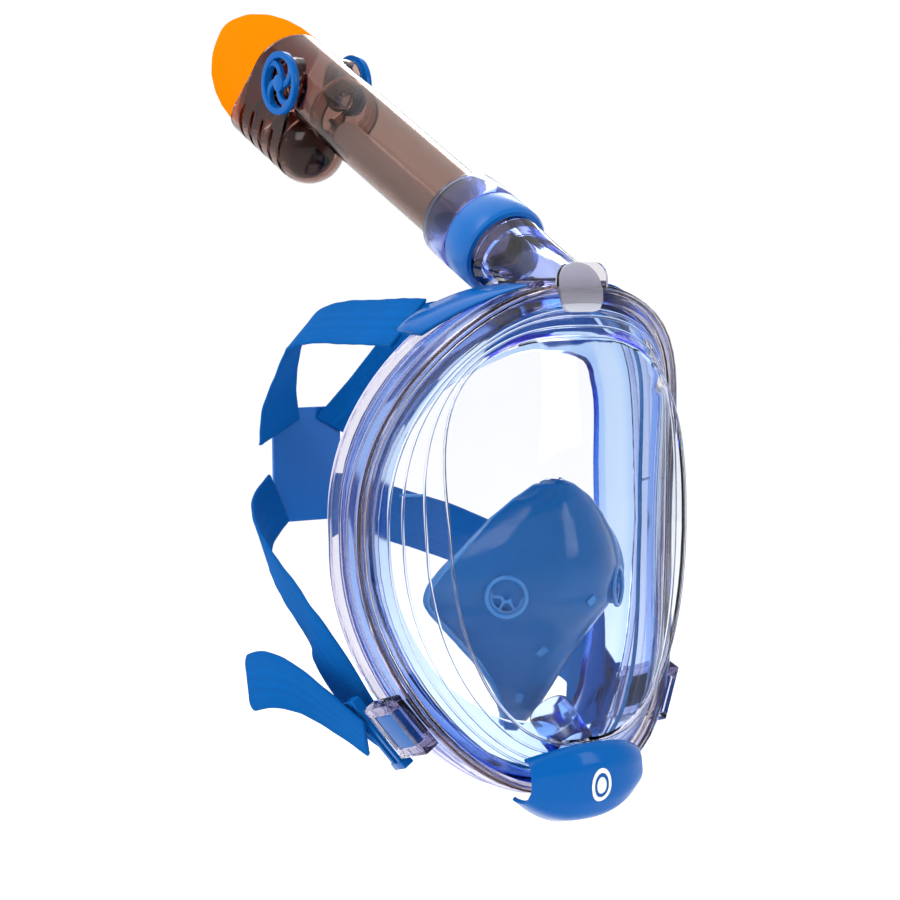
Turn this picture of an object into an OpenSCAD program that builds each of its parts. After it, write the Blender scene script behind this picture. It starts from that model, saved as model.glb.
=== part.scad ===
// Full-face snorkel mask. Millimetres, +Z up, front towards -Y, wearer's left is +X.
// The origin is the middle of the face opening.

/* [Frame outline] */
// Half width of the frame line that the lens and the frame share
frame_half_w = 96; // [84:1:108]
// Half height of the frame line
frame_half_h = 123.5; // [108:0.5:136]
// Height of the frame line's middle above the origin
frame_mid_z = -10.3; // [-20:0.1:0]
// Squareness of the frame line, 2 is an ellipse
frame_square = 2.19; // [2:0.01:2.6]
// How much wider the top of the frame line is than its middle
frame_top_flare = 0.04; // [0:0.01:0.1]
// How far the frame line's middle lies in front of the origin
frame_front = 37.9; // [30:0.1:46]
// How far the sides of the frame line sweep back
frame_sweep = 41.8; // [30:0.1:50]
// How much deeper or shallower the frame's rear band is than usual
band_extra = 0; // [-3:0.5:4]
// Wall of the frame's rear band
band_wall = 2.2; // [1.6:0.1:3]

/* [Lens] */
// Half width of the flat front window
window_half_w = 72.9; // [66:0.1:80]
// Half height of the front window
window_half_h = 99.2; // [90:0.1:106]
// How far the middle of the window lies in front of the origin
window_front = 49.5; // [46:0.1:56]
// Wall of the lens
lens_wall = 2.2; // [1.6:0.1:3]
// Width of the clear tab over the lens
tab_w = 30; // [22:1:34]
// Height of that tab above the frame line
tab_h = 12; // [8:0.5:16]

/* [Skirt and cup] */
// Reach of the soft face seal inwards from the frame line
seal_reach = 31; // [24:1:34]
// Thickness of the silicone
silicone_t = 2; // [1.4:0.1:2.6]
// Height of the cup's peak at the bridge of the nose
cup_top_z = 14; // [8:1:20]
// Height of the cup's lower end
cup_low_z = -98; // [-100:1:-90]
// Radius of the round valves in the cup and under the chin
valve_r = 9; // [7:0.5:10]

/* [Snorkel] */
// Tilt of the snorkel above the horizontal
tube_tilt = 27.6; // [20:0.1:40]
// Distance of the collar's upper end behind the origin
collar_y = 52.2; // [48:0.1:58]
// Height of the collar's upper end
collar_z = 148.9; // [146:0.1:156]
// Outer radius of the tube at the collar
tube_r_low = 19.8; // [18:0.1:21]
// Outer radius of the tube at the dry top
tube_r_high = 20.2; // [19.6:0.1:22]
// Length of the tube from the collar to the dry top
tube_len = 124; // [100:1:160]
// Wall of the tube
tube_wall = 2; // [1.6:0.1:2.6]
// Length of the spigot that slides into the mask
spigot_len = 32; // [24:1:34]
// Radial running clearance of the spigot
spigot_gap = 0.08; // [0.04:0.01:0.1]
// Length of each of the two soft bands at the joint
collar_len = 20; // [16:1:22]

/* [Dry top] */
// Length of the smoky housing on the side that faces up
top_len = 56; // [52:1:66]
// Radius of the float chamber's lobe
lobe_r = 20; // [18:0.5:22]
// Distance of the lobe's middle below the tube's axis
lobe_drop = 32.5; // [29:0.5:34]
// Wall of the housing and of the cap
top_wall = 2; // [1.6:0.1:2.6]
// Length of the orange cap beyond its joint
cap_len = 62; // [50:1:72]
// Number of slots in the float chamber
slot_count = 6; // [4:1:7]
// Travel of the float
float_travel = 10; // [6:1:12]
// Radius of the pinwheel covers
wheel_r = 17.1; // [15:0.1:19]
// Distance of a pinwheel cover's inner face from the middle
wheel_out = 22; // [21.5:0.1:24]
// Lift of each valve flap
flap_lift = 0.9; // [0.5:0.1:1.2]

/* [Straps] */
// Width of the straps
strap_w = 30; // [24:1:34]
// Thickness of the straps
strap_t = 2; // [1.4:0.1:2.6]
// Length of the loose strap ends
tail_len = 95; // [60:5:120]
// Travel of the strap release buttons
button_travel = 1.5; // [1:0.1:2]

/* [Hidden] */
$fn = 64;
stations = 64;
fit = 0.1;
soft_gap = 0.3;

smoky = [0.36, 0.31, 0.36, 0.6];
clear = [0.75, 0.8, 0.95, 0.35];
pale_blue = [0.45, 0.65, 0.95, 0.6];
blue = [0, 0.42, 0.85];
orange = [1, 0.55, 0];

// ---- Curves that the mask's shells share. The angle t is 0 at the top and grows towards +X.

function side(v) = v < 0 ? -1 : 1;
function power(v, e) = side(v) * pow(abs(v), e);
function mix(a, b, f) = a + (b - a) * f;

// Frame line: where the lens, the bezel and the frame's rear band meet
function frame_x(t) = frame_half_w * power(sin(t), 2 / frame_square) * (1 + frame_top_flare * cos(t));
function frame_z(t) = frame_mid_z + frame_half_h * power(cos(t), 2 / frame_square);
function frame_y(t) = -frame_front - 4 * cos(t)
    + frame_sweep * pow(abs(frame_x(t)) / frame_half_w, 3.32);

// Outward direction of the frame line in the XZ plane
function normal_raw(t) = [
    power(sin(t), 2 - 2 / frame_square) / frame_half_w,
    power(cos(t), 2 - 2 / frame_square) / frame_half_h];
function frame_n(t) = normal_raw(t) / norm(normal_raw(t));

// A point r outside the frame line and b behind it
function around(t, r, b) = [
    frame_x(t) + r * frame_n(t)[0],
    frame_y(t) + b,
    frame_z(t) + r * frame_n(t)[1]];

// Depth of the rear band: short at the middle of the sides and under the chin, long at the corners
function fold_angle(t) = abs(t) > 180 ? 360 - abs(t) : abs(t);
function band_depth(t) = band_extra + lookup(fold_angle(t),
    [[0, 30], [20, 32.5], [40, 36], [65, 31], [90, 26], [112, 30], [135, 36], [155, 32], [180, 22]]);

// Edge of the front window
function window_x(t) = window_half_w * power(sin(t), 0.755) * (1 + 0.17 * cos(t));
function window_z(t) = frame_mid_z + 0.8 + window_half_h * power(cos(t), 0.755);
function window_y(t) = -window_front + 4 + 3.8 * cos(t)
    + (7.6 + 7.6 * max(0, cos(t))) * pow(abs(window_x(t)) / window_half_w, 1.6);
function window_edge(t) = [window_x(t), window_y(t), window_z(t)];

// ---- Skins

// Side faces between rings of m points each. A ring runs anticlockwise about the way ahead.
function ring_faces(n, m, wrap) = [
    for (i = [0:(wrap ? n - 1 : n - 2)]) for (j = [0:m - 1])
        let (a = i * m + j, b = i * m + (j + 1) % m,
            c = ((i + 1) % n) * m + (j + 1) % m, d = ((i + 1) % n) * m + j)
        each [[a, c, b], [a, d, c]]];

// A closed tube through rings that go all the way round
module loop_skin(rings) {
    n = len(rings);
    m = len(rings[0]);
    polyhedron([for (r = rings) each r], ring_faces(n, m, true), 10);
}

// Faces of a flat end, in strips between the ring's first half and its second half
function end_faces(start, m) = [
    for (j = [0:m / 2 - 2])
        let (a = start + j, b = start + m - 1 - j)
        each [[a, a + 1, b - 1], [a, b - 1, b]]];
function turned(faces) = [for (f = faces) [f[2], f[1], f[0]]];

// A tube through open rings, each with an even number of points, with flat ends
module open_skin(rings) {
    n = len(rings);
    m = len(rings[0]);
    ends = concat(end_faces(0, m), turned(end_faces((n - 1) * m, m)));
    polyhedron([for (r = rings) each r], concat(ring_faces(n, m, false), ends), 10);
}

// A section [r, b] swept once round the frame line
module around_frame(section_at) {
    rings = [for (i = [0:stations - 1])
        let (t = 360 * i / stations) [for (p = section_at(t)) around(t, p[0], p[1])]];
    loop_skin(rings);
}

// ---- Rigid shell of the mask

band_gap = 0.25;
lens_back = -band_gap;
lens_front = lens_back - lens_wall;
lip_reach = 6.5;
lip_t = 2.4;

function frame_section(d) = [
    [0, 0], [-lip_reach, 0], [-lip_reach, lip_t], [-0.6, lip_t], [0.3, 9], [1.6 - band_wall, d - 1],
    [1.8 - band_wall, d], [1.4, d], [1.8, d - 2], [2.6, 9], [2.2, 3]];

pad_y = -22;
pad_len = 30;
pad_w = 44;
pad_z = frame_z(0) + 3.2;
pad_t = 5.4;
passage_w = 26;
passage_len = 15;

module frame() {
    color(smoky) difference() {
        union() {
            around_frame(function (t) frame_section(band_depth(t)));
            translate([-pad_w / 2, pad_y - pad_len / 2, pad_z - pad_t]) cube([pad_w, pad_len, pad_t]);
        }
        passage();
    }
}

// The way for the air from the neck through the frame and the skirt
module passage() {
    translate([-passage_w / 2, pad_y - passage_len / 2, pad_z - 14]) cube([passage_w, passage_len, 24]);
}

// The lens: a front window, a stepped side wall and a flange that the bezel holds
wall_steps = [[0.22, 0.38], [0.5, 0.72], [0.8, 0.93]];
flange_r = -1.3;
wall_r = -8.5;

function wall_foot(t) = around(t, wall_r, lens_front);
function lens_outer(t) = concat(
    [for (s = [0.3, 0.62, 0.86])
        [window_x(t) * s, mix(-window_front, window_y(t), s * s),
        frame_mid_z + (window_z(t) - frame_mid_z) * s]],
    [window_edge(t)],
    [for (w = wall_steps)
        [mix(window_x(t), wall_foot(t)[0], w[0]), mix(window_y(t), wall_foot(t)[1], w[1]),
        mix(window_z(t), wall_foot(t)[2], w[0])]],
    [wall_foot(t), around(t, flange_r, lens_front)]);

function inset(p, t, r, b) = [p[0] - r * frame_n(t)[0], p[1] + b, p[2] - r * frame_n(t)[1]];
function lens_inner(t) = let (o = lens_outer(t)) [
    inset(o[0], t, 0, lens_wall), inset(o[1], t, 0, lens_wall), inset(o[2], t, 0.3, lens_wall),
    inset(o[3], t, 0.8 * lens_wall, 0.9 * lens_wall),
    inset(o[4], t, lens_wall, 0.4 * lens_wall), inset(o[5], t, lens_wall, 0.4 * lens_wall),
    inset(o[6], t, 0.8 * lens_wall, 0.8 * lens_wall),
    around(t, wall_r - 0.3 * lens_wall, lens_back), around(t, flange_r, lens_back)];

module lens() {
    m = 9;
    outer = [for (i = [0:stations - 1]) lens_outer(360 * i / stations)];
    inner = [for (i = [0:stations - 1]) lens_inner(360 * i / stations)];
    n = stations;
    points = concat([for (r = outer) each r], [for (r = inner) each r],
        [[0, -window_front, frame_mid_z], [0, lens_wall - window_front, frame_mid_z]]);
    strips = [for (i = [0:n - 1]) for (j = [0:m - 2])
        let (k = (i + 1) % n, a = i * m + j, b = k * m + j, c = n * m)
        each [[a, a + 1, b + 1], [a, b + 1, b], [c + a, c + b + 1, c + a + 1], [c + a, c + b, c + b + 1]]];
    rim = [for (i = [0:n - 1])
        let (k = (i + 1) % n, a = i * m + m - 1, b = k * m + m - 1, c = n * m)
        each [[a, c + a, c + b], [a, c + b, b]]];
    middle = [for (i = [0:n - 1])
        let (k = (i + 1) % n, c = n * m)
        each [[2 * c, i * m, k * m], [2 * c + 1, c + k * m, c + i * m]]];
    color(clear) difference() {
        polyhedron(points, concat(strips, rim, middle), 10);
        on_chin(-14) cylinder(r = valve_r, h = 24);
    }
}

bezel_front = lens_front - 2.8;
tab_t = lens_front - band_gap - bezel_front - 0.6;
module bezel_ring() {
    color(smoky) union() {
        around_frame(function (t) [
            [flange_r + band_gap, lens_front - band_gap], [flange_r + band_gap, -fit], [0.8, -fit],
            [0.8, bezel_front + 1.2], [-0.6, bezel_front], [-6.3, bezel_front], [-7.3, bezel_front + 1],
            [-7.3, lens_front - band_gap]]);
        translate([0, frame_y(0) + bezel_front + 0.6, frame_z(0) + 0.2]) rotate([-90, 0, 0]) hull() {
            translate([-tab_w / 2, -1, 0]) cube([tab_w, 2, tab_t]);
            for (x = [-1, 1]) translate([x * (tab_w / 2 - 8), 8 - tab_h, 0]) cylinder(r = 8, h = tab_t, $fn = 32);
        }
    }
}

// ---- Soft skirt and cup

function skirt_section(d) = let (q = silicone_t, w = seal_reach) [
    [-2.4, lip_t + soft_gap], [-8.6, lip_t + soft_gap], [-8.6, lip_t + 3.6], [-3 - q, 10], [-3 - q, d - 9],
    [-6 - q, d - 4.5], [-11, d - q], [-20, d + 1 - q], [1 - w, d - 5 - q],
    [-w, d - 4], [-20, d + 1.6], [-10, d], [-4.4, d - 3], [-3, d - 7], [-3, 8]];

module face_skirt() {
    color(pale_blue) difference() {
        around_frame(function (t) skirt_section(band_depth(t)));
        passage();
    }
}

// The cup over the nose and the mouth: slices from the chin to the bridge of the nose
cup_levels = 10;
function cup_z(f) = mix(cup_low_z, cup_top_z, f);
function cup_half_w(f) = lookup(f,
    [[0, 26], [0.15, 40], [0.35, 51], [0.5, 53], [0.65, 46], [0.8, 34], [0.92, 21], [1, 10]]);
function cup_front(f) = lookup(f,
    [[0, -33], [0.15, -39], [0.35, -42.5], [0.6, -43], [0.8, -39], [0.92, -33], [1, -29]]);
function cup_rear(f) = lookup(f,
    [[0, -15], [0.2, -2], [0.4, 11], [0.6, 13], [0.8, 2], [0.92, -12], [1, -20]]);
function cup_slice(f, q) = [for (i = [0:18])
    let (a = -90 + 10 * i)
    [(cup_half_w(f) - q) * power(sin(a), 0.9),
    mix(cup_rear(f), cup_front(f) + q, power(cos(a), 0.85)), cup_z(f)]];

module oronasal_cup() {
    rings = [for (i = [0:cup_levels])
        let (f = i / cup_levels, o = cup_slice(f, 0), n = cup_slice(f, silicone_t))
        concat(o, [for (j = [18:-1:0]) n[j]])];
    color(blue) difference() {
        union() {
            open_skin(rings);
            on_chin(-spout_len - 8) cylinder(r = valve_r + silicone_t, h = spout_len + 2);
        }
        for (s = [-1, 1]) cup_port(s) translate([0, 0, -12]) cylinder(r = valve_r + fit, h = 24);
        on_chin(-spout_len - 12) cylinder(r = valve_r + fit, h = spout_len + 12);
    }
}

// The spout leads from the cup to the outlet under the chin
spout_len = 18;
cup_valve_x = 34;
cup_valve_y = -29;
cup_valve_z = -36;
// Local +Z points out of the cup's side
module cup_port(s) {
    translate([s * cup_valve_x, cup_valve_y, cup_valve_z]) rotate([90, 0, s * 38]) children();
}

seat_t = 2.4;
pin_r = 1.5;
pin_gap = 0.08;
// A round valve seat: a ring with a spider and a bored hub, its sealing face at z = 0
module valve_seat(r) {
    difference() {
        translate([0, 0, -seat_t]) cylinder(r = r, h = seat_t);
        difference() {
            translate([0, 0, -seat_t - 1]) cylinder(r = r - 2, h = seat_t + 2);
            cylinder(r = pin_r + 1.6, h = 3 * seat_t, center = true);
            for (a = [0, 60, 120]) rotate(a) cube([2 * r, 1.4, 3 * seat_t], center = true);
        }
        cylinder(r = pin_r + pin_gap, h = 3 * seat_t, center = true);
    }
}

flap_t = 0.7;
// A valve flap with its stem, seated on z = 0
module valve_flap(r) {
    translate([0, 0, 0.02]) cylinder(r = r - 0.6, h = flap_t);
    translate([0, 0, -seat_t - 1.6]) cylinder(r = pin_r, h = seat_t + 1.8);
}

module cup_valve_seat(s) {
    color(blue) cup_port(s) valve_seat(valve_r);
}

module cup_valve_flap(s) {
    color(pale_blue) cup_port(s) rotate([180, 0, 0]) translate([0, 0, seat_t]) valve_flap(valve_r);
}

// ---- Chin outlet

chin_y = -44;
chin_z = -116.8;
chin_tilt = 52;
// Local +Z points forwards and down out of the chin
module on_chin(h) {
    translate([0, chin_y, chin_z]) rotate([90 + 90 - chin_tilt, 0, 0]) translate([0, 0, h]) children();
}

chin_seat_out = 3.4;
module chin_valve_seat() {
    color(smoky) on_chin(chin_seat_out) union() {
        valve_seat(valve_r);
        difference() {
            translate([0, 0, -7.5]) cylinder(r = valve_r - fit, h = 7.5 - seat_t + 0.1);
            translate([0, 0, -8]) cylinder(r = valve_r - 2, h = 9);
        }
    }
}

module chin_valve_flap() {
    color(blue) on_chin(chin_seat_out) valve_flap(valve_r);
}

// The glossy cover that wraps round the chin
cover_half_w = 35;
cover_t = 2;
function cover_profile(v) = [
    lookup(v, [[0, -53.5], [0.12, -58], [0.3, -61], [0.55, -60.5], [0.8, -53], [1, -37]]),
    lookup(v, [[0, -107], [0.12, -109], [0.3, -118], [0.55, -134], [0.8, -146], [1, -150]])];
function cover_point(u, v, q) = let (p = cover_profile(v), a = abs(u)) [
    (cover_half_w - 0.5 * q) * u,
    p[0] + q * (1 - 0.6 * v) + 13 * pow(a, 2.4) * (1 - 0.45 * v),
    p[1] + (v > 0.4 ? 1 : -0.2) * q * v + mix(-7, 14, v) * pow(a, 2.4)];

module chin_cover() {
    cols = 14;
    rows = 9;
    rings = [for (i = [0:cols])
        let (u = 2 * i / cols - 1)
        concat([for (j = [0:rows]) cover_point(u, j / rows, 0)],
            [for (j = [rows:-1:0]) cover_point(u, j / rows, cover_t)])];
    color(blue) open_skin(rings);
}

// ---- Snorkel, drawn on its own axis: local +Z runs up the tube, local +Y points to its underside

module on_tube(s) {
    translate([0, collar_y, collar_z]) rotate([tube_tilt - 90, 0, 0]) translate([0, 0, s]) children();
}
function tube_point(p) = [
    p[0],
    collar_y + p[2] * cos(tube_tilt) + p[1] * sin(tube_tilt),
    collar_z + p[2] * sin(tube_tilt) - p[1] * cos(tube_tilt)];

spigot_r = tube_r_low - 2.2;
bore_r = spigot_r + spigot_gap;
socket_r = bore_r + 2.6;
socket_low = -spigot_len - 14;
socket_top = -0.6;
band_out = tube_r_low + 4.6;

module snorkel_socket() {
    steps = 7;
    base = pad_z + fit;
    // Outline and inside of the neck, from the pad on the frame up to the round socket
    function neck_ring(f, q) = [for (j = [0:31])
        let (a = 360 * j / 32, e = mix(0.62, 1, f),
            top = tube_point([(socket_r + 0.6 - q) * cos(a), (socket_r + 0.6 - q) * sin(a), socket_low + 2]),
            low = [(pad_w / 2 - q) * power(cos(a), e), pad_y + (pad_len / 2 - q) * power(sin(a), e), base],
            lift = [low[0], low[1] - 4 * sin(180 * f), low[2]])
        lift + (top - lift) * f];
    color(clear) difference() {
        union() {
            open_skin([for (i = [0:steps]) neck_ring(i / steps, 0)]);
            on_tube(socket_low) cylinder(r = socket_r, h = socket_top - socket_low);
        }
        open_skin(concat(
            [[for (p = neck_ring(0, 5)) [p[0], p[1], base - 1]]],
            [for (i = [0:steps]) neck_ring(i / steps, mix(5, 9, i / steps))]));
        on_tube(-spigot_len - 1) cylinder(r = bore_r, h = spigot_len + 2);
        on_tube(socket_low - 1) cylinder(r = spigot_r - 2, h = spigot_len);
    }
}

module neck_gasket() {
    color(blue) on_tube(0) rotate_extrude() polygon([
        [socket_r + fit, -2 * collar_len - 1], [band_out - 1.4, -2 * collar_len - 1],
        [band_out, -2 * collar_len + 1], [band_out, -collar_len - 3], [band_out - 1, -collar_len - 1.2],
        [socket_r + fit, -collar_len - 1.2]]);
}

groove_s = -24;
groove_r = spigot_r - 2.4;
function tube_r(s) = mix(tube_r_low, tube_r_high, s / tube_len);

module snorkel_tube() {
    color(smoky) on_tube(0) rotate_extrude() polygon([
        [spigot_r - 4, -spigot_len + 0.4], [spigot_r, -spigot_len + 0.4], [spigot_r, groove_s - 1.5],
        [groove_r, groove_s - 1.5], [groove_r, groove_s + 1.5], [spigot_r, groove_s + 1.5], [spigot_r, 0],
        [tube_r_low, 0], [tube_r_high, tube_len], [tube_r_high - tube_wall, tube_len],
        [tube_r_low - tube_wall, 6], [spigot_r - 4, 3]]);
}

module tube_collar() {
    color(pale_blue) on_tube(0) rotate_extrude() polygon([
        [socket_r + fit, -collar_len - 0.7], [band_out - 0.6, -collar_len - 0.7],
        [band_out, -collar_len + 0.6], [band_out, -1], [band_out - 0.8, 0.5], [tube_r(3) + 0.3, 3],
        [tube_r(3) + fit, 3], [tube_r_low + fit, 0], [socket_r + fit, -0.2]]);
}

module tube_seal() {
    color([0.1, 0.1, 0.12]) on_tube(groove_s) rotate_extrude() translate([spigot_r - 1.28, 0]) circle(r = 1.1);
}

duct_r = 7.5;
duct_drop = tube_r_low - tube_wall - duct_r - 0.4;
module inner_duct() {
    color(clear) on_tube(8) translate([0, duct_drop, 0]) difference() {
        cylinder(r = duct_r, h = tube_len - 16.5);
        translate([0, 0, -1]) cylinder(r = duct_r - 1.2, h = tube_len);
    }
}

// ---- Dry top

joint_slope = 0.36;
seam_mid = tube_len + top_len + tube_r_high * joint_slope;
function seam_s(y) = seam_mid + joint_slope * y;
chamber_low = tube_len + 3;
port_s = tube_len + 31;
port_y = -1.4;
port_r = wheel_r - 2.4;
seat_out = wheel_out - 5.2;
port_end = wheel_out - 1.6;

// Solid of the housing: the tube's circle, the float chamber's round-ended lobe and the web between them
module top_outline(r_main, r_lobe, low_main, high) {
    lobe_from = chamber_low + lobe_r;
    translate([0, 0, low_main]) cylinder(r = r_main, h = high - low_main);
    translate([0, lobe_drop, lobe_from]) cylinder(r = r_lobe, h = high - lobe_from);
    translate([0, lobe_drop, lobe_from]) sphere(r = r_lobe);
    translate([-r_lobe, 0, lobe_from]) cube([2 * r_lobe, lobe_drop, high - lobe_from]);
}

// Everything above the slanted joint between the housing and the cap
module above_joint(gap) {
    translate([0, 0, seam_mid + gap]) rotate([atan(joint_slope), 0, 0]) translate([-60, -90, 0]) cube([120, 180, 120]);
}

sleeve_len = 8;
slot_w = 3.6;
slot_pitch = (seam_s(lobe_drop) - chamber_low - 6) / slot_count;
guide_r = 3;

module drytop_housing() {
    high = seam_s(lobe_drop + lobe_r) + 2;
    color(smoky) on_tube(0) difference() {
        union() {
            top_outline(tube_r_high, lobe_r, tube_len + fit, high);
            translate([0, 0, tube_len - sleeve_len])
                cylinder(r = tube_r_high - tube_wall - 0.2, h = sleeve_len + 2);
            translate([0, port_y, port_s]) rotate([0, 90, 0])
                cylinder(r = port_r, h = 2 * port_end, center = true);
        }
        difference() {
            top_outline(tube_r_high - top_wall, lobe_r - top_wall, tube_len + 3, high + 1);
            // What stays: the float's guide pin, its seat and the exhaust ports
            translate([0, lobe_drop, 0]) cylinder(r = guide_r, h = seam_mid + 4);
            translate([0, lobe_drop, float_top + float_travel + 0.3]) difference() {
                cylinder(r = lobe_r - 1, h = 2);
                translate([0, 0, -1]) cylinder(r = 10, h = 4);
            }
            for (s = [0, 180]) translate([0, port_y, port_s]) rotate([0, 90, s])
                translate([0, 0, seat_out - seat_t]) cylinder(r = port_r, h = 10);
        }
        translate([0, 0, tube_len - sleeve_len - 1]) cylinder(r = tube_r_high - tube_wall - 1.8, h = 20);
        // Exhaust ports: the open mouth, then six holes round the flap's stem
        for (s = [0, 180]) translate([0, port_y, port_s]) rotate([0, 90, s]) {
            translate([0, 0, seat_out]) cylinder(r = port_r - 1.4, h = 10);
            cylinder(r = pin_r + pin_gap, h = 40);
            for (a = [0:60:300]) rotate(a) translate([6.6, 0, seat_out - 10]) cylinder(r = 2.6, h = 20);
        }
        for (i = [0:slot_count - 1])
            translate([0, 0, chamber_low + 6 + i * slot_pitch]) difference() {
                translate([-30, lobe_drop - 6, 0]) cube([60, 60, slot_w]);
                translate([0, lobe_drop, -1]) cylinder(r = lobe_r - 1.5 * top_wall, h = slot_w + 2);
            }
        above_joint(0);
    }
}

cap_steps = 7;
cap_mid = 15;
function cap_ring(f, q) = [for (j = [0:31])
    let (a = 360 * j / 32, c = pow(max(0, 1 - pow(f, 2.3)), 0.44),
        low = sin(a) > 0, r = (low ? lobe_r : tube_r_high) - q,
        x = r * power(cos(a), 0.94) * (low ? 1 + (tube_r_high - lobe_r) / lobe_r * (1 - sin(a)) : 1),
        y = low ? (lobe_drop + r) * sin(a) : r * sin(a),
        yc = cap_mid + (y - cap_mid) * c)
    tube_point([x * c, yc, seam_s(yc) + f * (cap_len - q) + 0.15])];

module drytop_cap() {
    last = 0.985;
    color(orange) difference() {
        open_skin([for (i = [0:cap_steps]) cap_ring(last * sin(90 * i / cap_steps), 0)]);
        open_skin(concat(
            [[for (p = cap_ring(0, top_wall + 0.6)) p - [0, 3 * cos(tube_tilt), 3 * sin(tube_tilt)]]],
            [for (i = [0:cap_steps]) cap_ring(last * sin(90 * i / cap_steps), top_wall + 0.6)]));
    }
}

float_r = lobe_r - top_wall - 3.5;
float_low = chamber_low + lobe_r - 6;
float_len = 26;
seal_t = 1.6;
float_top = float_low + float_len + seal_t;
module float_body() {
    color(orange) on_tube(float_low) translate([0, lobe_drop + 2, 0]) difference() {
        cylinder(r = float_r, h = float_len);
        translate([0, -2, -1]) cylinder(r = guide_r + 0.09, h = float_len + 2);
    }
}

module float_seal() {
    color([0.1, 0.1, 0.12]) on_tube(float_low + float_len) translate([0, lobe_drop + 2, 0]) difference() {
        cylinder(r = float_r - 1, h = seal_t);
        translate([0, -2, -1]) cylinder(r = guide_r + 0.4, h = 4);
    }
}

// The pinwheel cover: a rim, a hub and four curved spokes
module exhaust_cap(s) {
    wheel_t = 3;
    color(blue) on_tube(port_s) translate([0, port_y, 0]) rotate([0, 90 * s, 0])
        translate([0, 0, wheel_out]) union() {
            difference() {
                cylinder(r = wheel_r, h = wheel_t);
                translate([0, 0, -1]) cylinder(r = wheel_r - 3.4, h = wheel_t + 2);
            }
            cylinder(r = 4.6, h = wheel_t);
            for (a = [0:90:270]) rotate(a) intersection() {
                translate([0, 7.5, 0]) difference() {
                    cylinder(r = 9.2, h = wheel_t - 0.6);
                    translate([0, 0, -1]) cylinder(r = 6.2, h = wheel_t + 2);
                }
                translate([2.5, -4, 0]) cube([wheel_r, wheel_r, wheel_t]);
                cylinder(r = wheel_r - 2, h = wheel_t);
            }
            translate([0, 0, port_end + fit - wheel_out]) difference() {
                cylinder(r = port_r, h = wheel_out - port_end);
                translate([0, 0, -1]) cylinder(r = port_r - 1.4, h = 10);
            }
        }
}

module exhaust_flap(s) {
    color(pale_blue) on_tube(port_s) translate([0, port_y, 0]) rotate([0, 90 * s, 0])
        translate([0, 0, seat_out]) {
            translate([0, 0, 0.02]) cylinder(r = port_r - 2.2, h = flap_t);
            translate([0, 0, -4.6]) cylinder(r = pin_r, h = 5);
        }
}

module mirrored(s) {
    mirror([s < 0 ? 1 : 0, 0, 0]) children();
}

// ---- Lugs at the lower corners. Local +X points out of the frame's side, local +Z up along it.

lug_t = 131.5;
lug_seat = 2.9;
lug_lean = 17;
lug_h = 31;
lug_out = 8.4;
lug_front = 2.5;
lug_len = 31;
lug_mid = lug_front + lug_len / 2;
window_y0 = 5.5;
window_len = 19;
window_h = 20;
button_gap = 0.3;
lug_n = frame_n(lug_t);
lug_roll = -atan2(lug_n[1], lug_n[0]);

module at_lug(s) {
    mirrored(s) translate(around(lug_t, lug_seat, lug_mid)) rotate([0, lug_roll, 0]) rotate([-lug_lean, 0, 0])
        translate([0, -lug_mid, 0]) children();
}

// The same place as a point
function lug_point(q) = let (
    y = q[1] - lug_mid,
    y1 = y * cos(lug_lean) + q[2] * sin(lug_lean),
    z1 = q[2] * cos(lug_lean) - y * sin(lug_lean))
    around(lug_t, lug_seat, lug_mid) + [q[0] * cos(lug_roll) + z1 * sin(lug_roll), y1,
    z1 * cos(lug_roll) - q[0] * sin(lug_roll)];
lug_normal = lug_point([1, 0, 0]) - lug_point([0, 0, 0]);

module strap_lug(s) {
    floor_t = 1.6;
    color(smoky) at_lug(s) difference() {
        union() {
            translate([0, lug_front, -lug_h / 2]) cube([lug_out, lug_len, lug_h]);
            // Rails that carry the buckle
            for (z = [-1, 1])
                translate([1, lug_front + lug_len - 1, z * (lug_h / 2 - 3) - 1.5]) cube([4, rail_len + 1, 3]);
        }
        translate([floor_t, lug_front + window_y0 - button_gap, -window_h / 2 - button_gap])
            cube([20, window_len + 2 * button_gap, window_h + 2 * button_gap]);
    }
}

module release_button(s) {
    color(blue) at_lug(s) translate([1.6 + button_travel + 0.2, lug_front + window_y0, -window_h / 2])
        cube([lug_out - 1.6 - button_travel - 0.6, window_len, window_h]);
}

// Two bars with a gap for the strap, joined by a head and a wider foot
rail_len = 7;
bar_w = 3;
bar_gap = 4.4;
bar_t = 5;
bar_low = 2;
buckle_y = lug_front + lug_len + rail_len + 0.2;
buckle_half = strap_w / 2 + 6;
module lower_buckle(s) {
    color(blue) at_lug(s) translate([bar_low, buckle_y, 0]) union() {
        for (y = [0, bar_w + bar_gap]) translate([0, y, -buckle_half]) cube([bar_t, bar_w, 2 * buckle_half]);
        translate([0, 0, buckle_half - 3]) cube([bar_t, 2 * bar_w + bar_gap, 3]);
        translate([-0.5, -1.5, -buckle_half - 1]) cube([bar_t + 1, 2 * bar_w + bar_gap + 3, 4]);
    }
}

// ---- Harness. It is drawn for the wearer's left and mirrored for the right.

head_mid = [0, 99, 16];
head_size = [76, 107, 103];
function head_out(p) = let (v = [for (i = [0:2]) (p[i] - head_mid[i]) / pow(head_size[i], 2)]) v / norm(v);

// A smooth curve through route points, and its direction
function route_at(q, f) = let (i = min(floor(f), len(q) - 2), u = f - i,
    a = q[max(i - 1, 0)], b = q[i], c = q[i + 1], d = q[min(i + 2, len(q) - 1)])
    0.5 * (2 * b + (c - a) * u + (2 * a - 5 * b + 4 * c - d) * u * u + (3 * b - a - 3 * c + d) * pow(u, 3));
function route_dir(q, f) = let (v = route_at(q, f + 0.02) - route_at(q, f - 0.02)) v / norm(v);

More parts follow.
